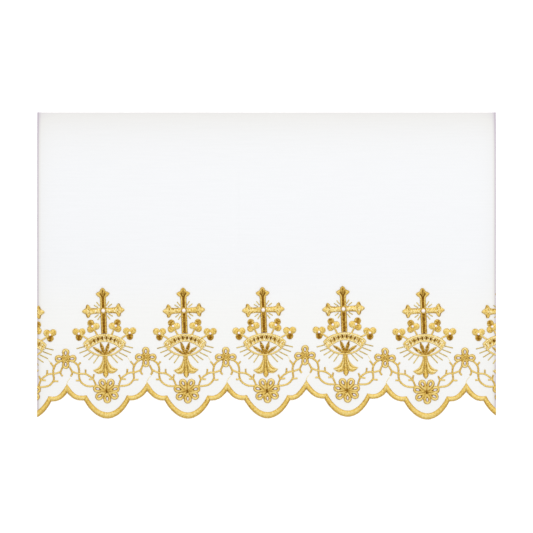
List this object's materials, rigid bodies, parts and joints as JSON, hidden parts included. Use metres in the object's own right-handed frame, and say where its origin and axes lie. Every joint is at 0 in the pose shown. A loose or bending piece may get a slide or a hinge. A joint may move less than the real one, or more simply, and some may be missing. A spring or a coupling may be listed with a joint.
{
  "type": "altar cloth",
  "caption": "Flat length of white altar cloth with a scalloped lower edge and a gold embroidered border of budded crosses, rosettes and vine links.",
  "frame": {"origin": "middle of the cloth's flat underside, at the centre of its length and of its depth", "axes": "+X along the embroidered border, +Y from the scalloped lower edge up to the straight top edge, +Z out of the embroidered face"},
  "size_m": [0.4186, 0.2805, 0.0035],
  "materials": {
    "white_cloth": "closely woven matte white polyester",
    "gold_thread": "lustrous gold rayon embroidery thread in satin stitch",
    "pearl": "white pearl-coated bead"
  },
  "bodies": {
    "root": {"arch_1": "gold_thread", "arch_2": "gold_thread", "arch_3": "gold_thread", "arch_4": "gold_thread", "arch_5": "gold_thread", "arch_left_a": "gold_thread", "arch_left_b": "gold_thread", "arch_right_a": "gold_thread", "arch_right_b": "gold_thread", "cloth": "white_cloth", "cross_1": "gold_thread", "cross_2": "gold_thread", "cross_3": "gold_thread", "cross_4": "gold_thread", "cross_5": "gold_thread", "cross_left": "gold_thread", "cross_right": "gold_thread", "foot_1": "gold_thread", "foot_2": "gold_thread", "foot_3": "gold_thread", "foot_4": "gold_thread", "foot_5": "gold_thread", "foot_left": "gold_thread", "foot_right": "gold_thread", "link_1": "gold_thread", "link_2": "gold_thread", "link_3": "gold_thread", "link_4": "gold_thread", "link_5": "gold_thread", "link_6": "gold_thread", "pearl_1": "pearl", "pearl_2": "pearl", "pearl_3": "pearl", "pearl_4": "pearl", "pearl_5": "pearl", "rosette_1": "gold_thread", "rosette_2": "gold_thread", "rosette_3": "gold_thread", "rosette_4": "gold_thread", "rosette_5": "gold_thread", "rosette_left_a": "gold_thread", "rosette_left_b": "gold_thread", "rosette_right_a": "gold_thread", "rosette_right_b": "gold_thread", "scallop_edging": "gold_thread"}
  },
  "joints": []
}
